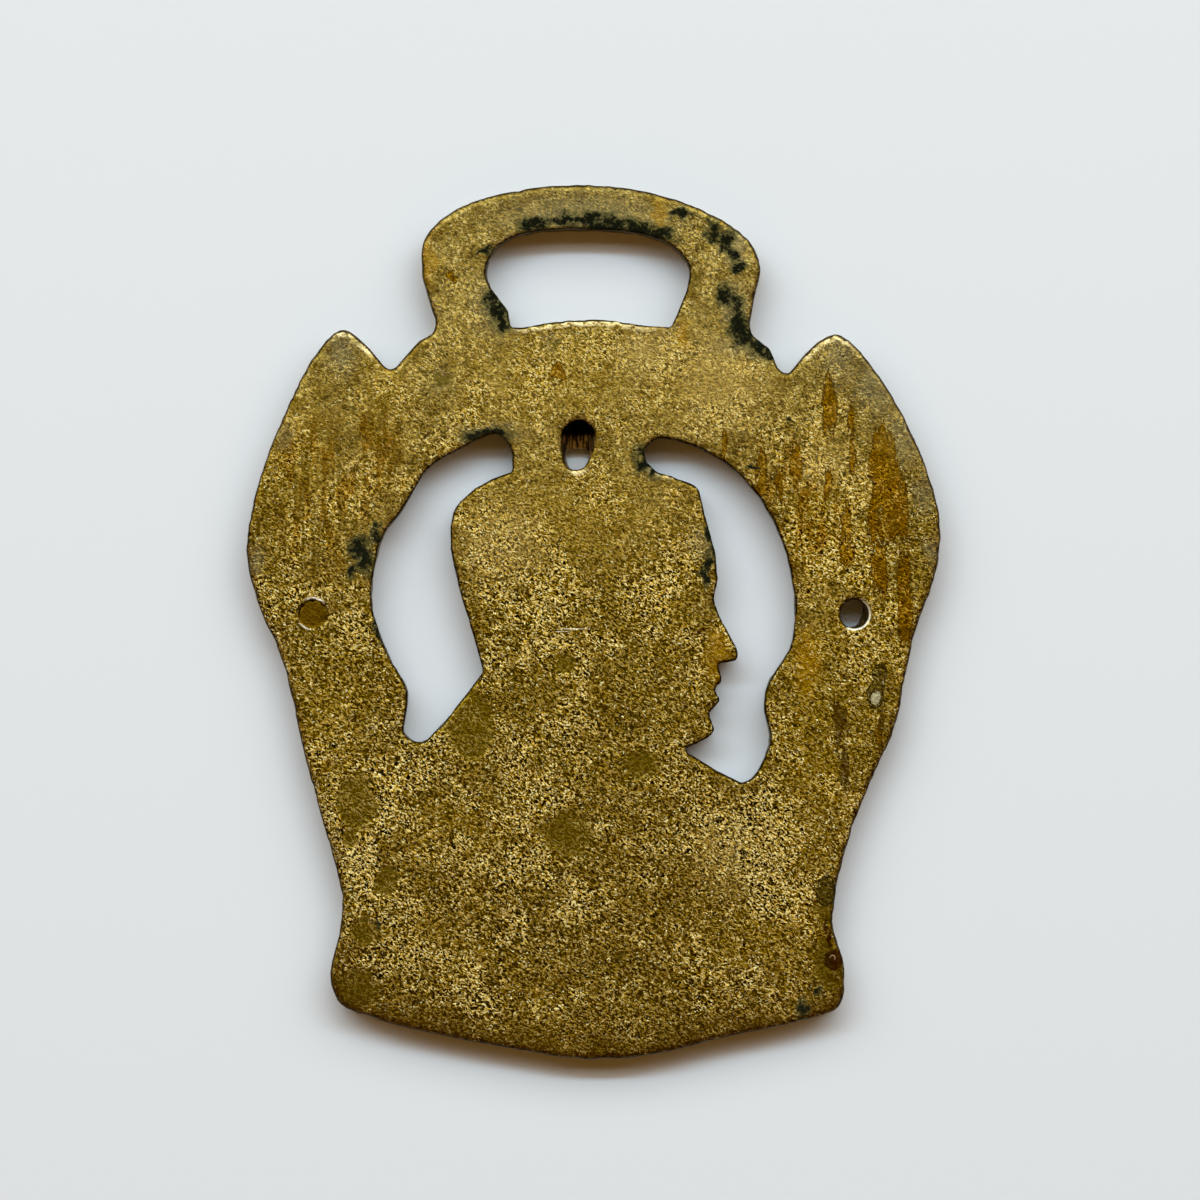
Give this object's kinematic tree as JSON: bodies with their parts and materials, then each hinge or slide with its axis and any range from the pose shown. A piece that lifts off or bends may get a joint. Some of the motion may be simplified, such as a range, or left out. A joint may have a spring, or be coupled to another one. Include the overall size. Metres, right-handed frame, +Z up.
{
  "type": "horse brass",
  "caption": "Flat cast brass harness pendant with a strap slot, two pointed wings, a pierced medallion with a head in profile and a flared ribbon foot.",
  "frame": {"origin": "on the surface the brass lies on, under the middle of its box", "axes": "+Z up through the plain back, +Y towards the hanger with the strap slot, +X towards the side that the head faces as seen from the back"},
  "size_m": [0.0696, 0.0876, 0.0036],
  "materials": {
    "brass": "aged, rough sand-cast back with brown and green-black patina"
  },
  "bodies": {
    "root": {"horse_brass": "brass"}
  },
  "joints": []
}
